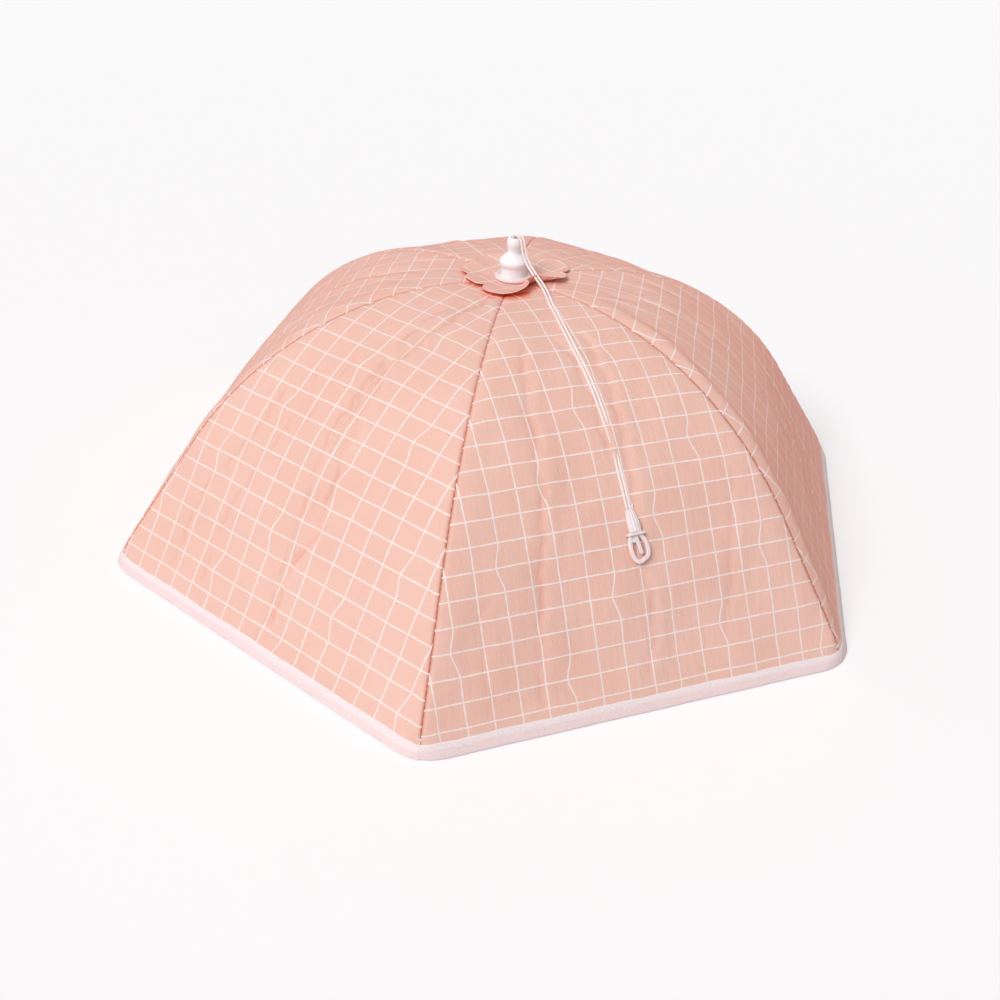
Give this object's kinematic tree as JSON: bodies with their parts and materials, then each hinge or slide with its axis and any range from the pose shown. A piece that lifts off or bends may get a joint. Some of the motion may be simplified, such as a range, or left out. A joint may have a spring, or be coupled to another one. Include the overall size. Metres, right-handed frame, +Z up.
{
  "type": "folding insulated food cover",
  "caption": "Hexagonal umbrella-style food cover: checked cloth dome with insulating lining on a folding wire frame with hub, stretchers and sliding runner, and a pull cord with tab.",
  "frame": {"origin": "on the table under the middle of the cover, at the level of the hem's underside", "axes": "+Z up along the hub's axis, +Y from the middle to a corner of the hem, +X to the middle of a side"},
  "size_m": [0.5214, 0.594, 0.2216],
  "materials": {
    "printed_cloth": "woven polyester with a printed check",
    "foil_lining": "aluminised film on thin wadding",
    "binding_tape": "thin woven tape",
    "rib_tunnel": "woven cloth",
    "white_plastic": "moulded, satin",
    "spring_steel": "zinc-plated spring wire",
    "white_cord": "fine braided cord"
  },
  "bodies": {
    "crown": {"top_cap": "white_plastic", "petal_patch": "printed_cloth", "hub_notch": "white_plastic", "hub_ring_wire": "spring_steel", "outer_panel_1": "printed_cloth", "outer_panel_2": "printed_cloth", "outer_panel_3": "printed_cloth", "outer_panel_4": "printed_cloth", "outer_panel_5": "printed_cloth", "outer_panel_6": "printed_cloth", "insulating_lining_1": "foil_lining", "insulating_lining_2": "foil_lining", "insulating_lining_3": "foil_lining", "insulating_lining_4": "foil_lining", "insulating_lining_5": "foil_lining", "insulating_lining_6": "foil_lining", "hem_binding_1": "binding_tape", "hem_binding_2": "binding_tape", "hem_binding_3": "binding_tape", "hem_binding_4": "binding_tape", "hem_binding_5": "binding_tape", "hem_binding_6": "binding_tape", "pull_cord_a": "white_cord", "pull_cord_b": "white_cord", "pull_tab": "white_plastic"},
    "rib_1": {"rib_wire_1": "spring_steel", "rib_sleeve_1": "rib_tunnel", "rib_tip_1": "white_plastic", "stretcher_bracket_1": "white_plastic"},
    "stretcher_1": {"stretcher_wire_1": "spring_steel"},
    "rib_2": {"rib_wire_2": "spring_steel", "rib_sleeve_2": "rib_tunnel", "rib_tip_2": "white_plastic", "stretcher_bracket_2": "white_plastic"},
    "stretcher_2": {"stretcher_wire_2": "spring_steel"},
    "rib_3": {"rib_wire_3": "spring_steel", "rib_sleeve_3": "rib_tunnel", "rib_tip_3": "white_plastic", "stretcher_bracket_3": "white_plastic"},
    "stretcher_3": {"stretcher_wire_3": "spring_steel"},
    "rib_4": {"rib_wire_4": "spring_steel", "rib_sleeve_4": "rib_tunnel", "rib_tip_4": "white_plastic", "stretcher_bracket_4": "white_plastic"},
    "stretcher_4": {"stretcher_wire_4": "spring_steel"},
    "rib_5": {"rib_wire_5": "spring_steel", "rib_sleeve_5": "rib_tunnel", "rib_tip_5": "white_plastic", "stretcher_bracket_5": "white_plastic"},
    "stretcher_5": {"stretcher_wire_5": "spring_steel"},
    "rib_6": {"rib_wire_6": "spring_steel", "rib_sleeve_6": "rib_tunnel", "rib_tip_6": "white_plastic", "stretcher_bracket_6": "white_plastic"},
    "stretcher_6": {"stretcher_wire_6": "spring_steel"},
    "runner": {"runner": "white_plastic", "runner_ring_wire": "spring_steel", "cord_knot": "white_cord"}
  },
  "joints": [
    {"name": "fold", "type": "hinge", "parent": "crown", "child": "rib_1", "pos_m": [0, -0.011, 0.17846], "axis": [1, 0, 0], "range_deg": [0, 55]},
    {"name": "stretcher_hinge_1", "type": "hinge", "parent": "rib_1", "child": "stretcher_1", "pos_m": [0, -0.08674, 0.17246], "axis": [1, 0, 0], "range_deg": [-110, 0]},
    {"name": "rib_hinge_2", "type": "hinge", "parent": "crown", "child": "rib_2", "pos_m": [0.00953, -0.0055, 0.17846], "axis": [0.5, 0.866, 0], "range_deg": [0, 55]},
    {"name": "stretcher_hinge_2", "type": "hinge", "parent": "rib_2", "child": "stretcher_2", "pos_m": [0.07512, -0.04337, 0.17246], "axis": [0.5, 0.866, 0], "range_deg": [-110, 0]},
    {"name": "rib_hinge_3", "type": "hinge", "parent": "crown", "child": "rib_3", "pos_m": [0.00953, 0.0055, 0.17846], "axis": [-0.5, 0.866, 0], "range_deg": [0, 55]},
    {"name": "stretcher_hinge_3", "type": "hinge", "parent": "rib_3", "child": "stretcher_3", "pos_m": [0.07512, 0.04337, 0.17246], "axis": [-0.5, 0.866, 0], "range_deg": [-110, 0]},
    {"name": "rib_hinge_4", "type": "hinge", "parent": "crown", "child": "rib_4", "pos_m": [0, 0.011, 0.17846], "axis": [-1, 0, 0], "range_deg": [0, 55]},
    {"name": "stretcher_hinge_4", "type": "hinge", "parent": "rib_4", "child": "stretcher_4", "pos_m": [0, 0.08674, 0.17246], "axis": [-1, 0, 0], "range_deg": [-110, 0]},
    {"name": "rib_hinge_5", "type": "hinge", "parent": "crown", "child": "rib_5", "pos_m": [-0.00953, 0.0055, 0.17846], "axis": [-0.5, -0.866, 0], "range_deg": [0, 55]},
    {"name": "stretcher_hinge_5", "type": "hinge", "parent": "rib_5", "child": "stretcher_5", "pos_m": [-0.07512, 0.04337, 0.17246], "axis": [-0.5, -0.866, 0], "range_deg": [-110, 0]},
    {"name": "rib_hinge_6", "type": "hinge", "parent": "crown", "child": "rib_6", "pos_m": [-0.00953, -0.0055, 0.17846], "axis": [0.5, -0.866, 0], "range_deg": [0, 55]},
    {"name": "stretcher_hinge_6", "type": "hinge", "parent": "rib_6", "child": "stretcher_6", "pos_m": [-0.07512, -0.04337, 0.17246], "axis": [0.5, -0.866, 0], "range_deg": [-110, 0]},
    {"name": "runner_hinge", "type": "hinge", "parent": "stretcher_1", "child": "runner", "pos_m": [0, -0.011, 0.16646], "axis": [1, 0, 0], "range_deg": [0, 55]}
  ],
  "couplings": [
    {"joint": "stretcher_hinge_1", "follows": "fold", "ratio": -2},
    {"joint": "rib_hinge_2", "follows": "fold", "ratio": 1},
    {"joint": "stretcher_hinge_2", "follows": "fold", "ratio": -2},
    {"joint": "rib_hinge_3", "follows": "fold", "ratio": 1},
    {"joint": "stretcher_hinge_3", "follows": "fold", "ratio": -2},
    {"joint": "rib_hinge_4", "follows": "fold", "ratio": 1},
    {"joint": "stretcher_hinge_4", "follows": "fold", "ratio": -2},
    {"joint": "rib_hinge_5", "follows": "fold", "ratio": 1},
    {"joint": "stretcher_hinge_5", "follows": "fold", "ratio": -2},
    {"joint": "rib_hinge_6", "follows": "fold", "ratio": 1},
    {"joint": "stretcher_hinge_6", "follows": "fold", "ratio": -2},
    {"joint": "runner_hinge", "follows": "fold", "ratio": 1}
  ]
}
